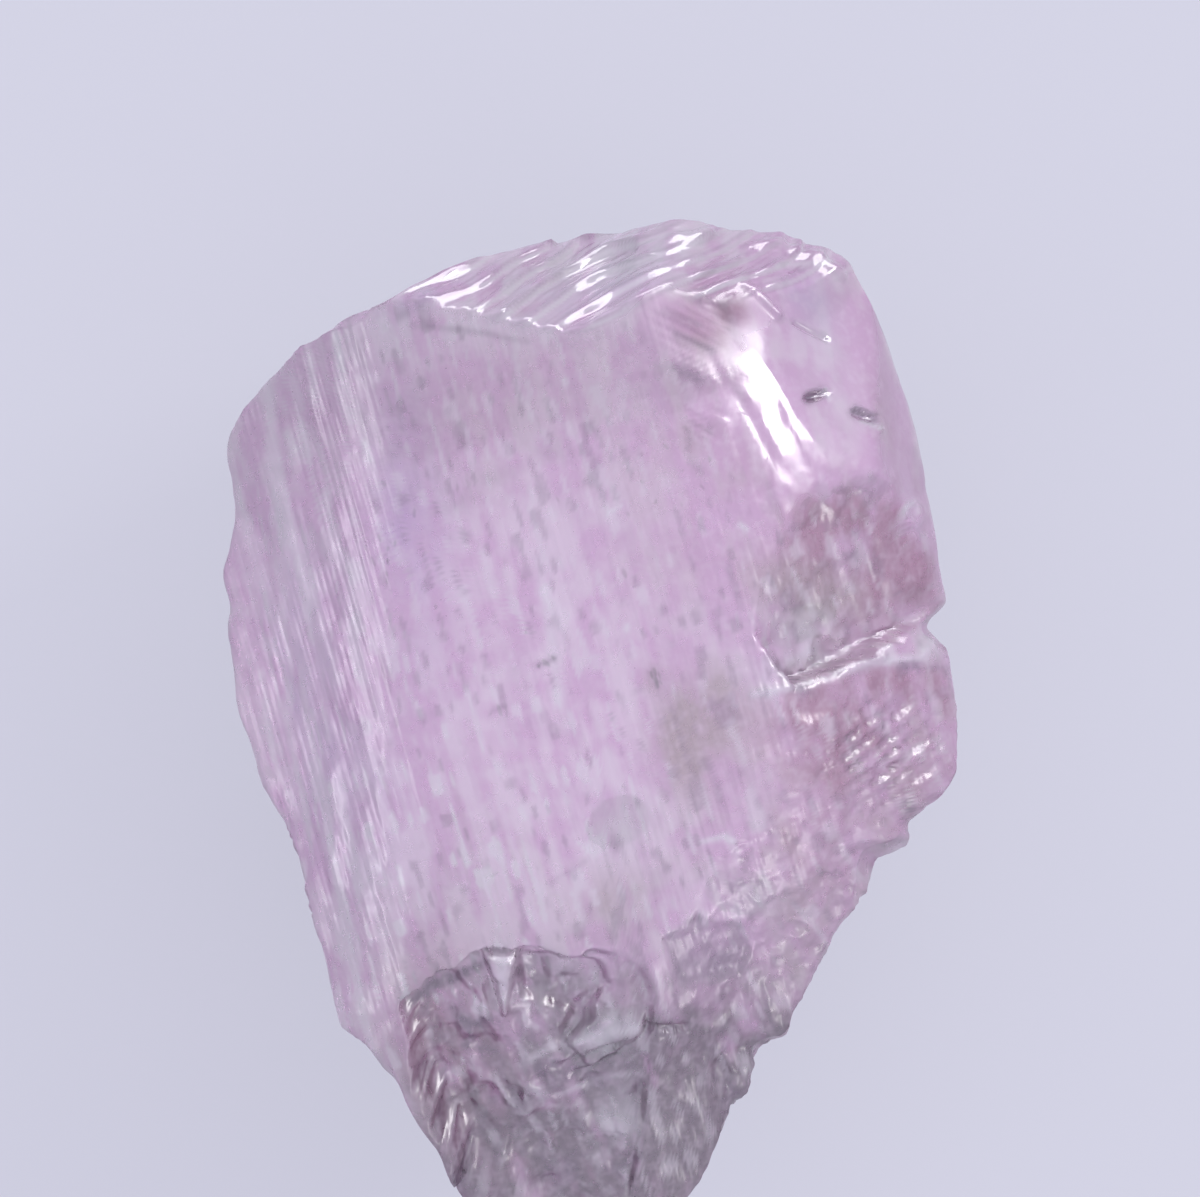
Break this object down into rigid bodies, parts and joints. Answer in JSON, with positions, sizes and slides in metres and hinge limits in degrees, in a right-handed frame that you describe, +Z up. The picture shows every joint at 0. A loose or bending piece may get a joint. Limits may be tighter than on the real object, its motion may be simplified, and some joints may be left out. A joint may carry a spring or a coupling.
{
  "type": "rough diamond",
  "caption": "Natural pink rough diamond crystal, uncut, with a striated side, a glossy blunt end and a broken end, lying on a flat face.",
  "frame": {"origin": "on the ground, under the middle of the crystal's outline", "axes": "+Z up, out of the broad front face; +Y along the crystal's length towards the blunt growth end; +X towards the side opposite the striated one"},
  "size_m": [0.003, 0.0041, 0.0023],
  "materials": {
    "pink_diamond": "satin"
  },
  "bodies": {
    "root": {"rough_diamond": "pink_diamond"}
  },
  "joints": []
}
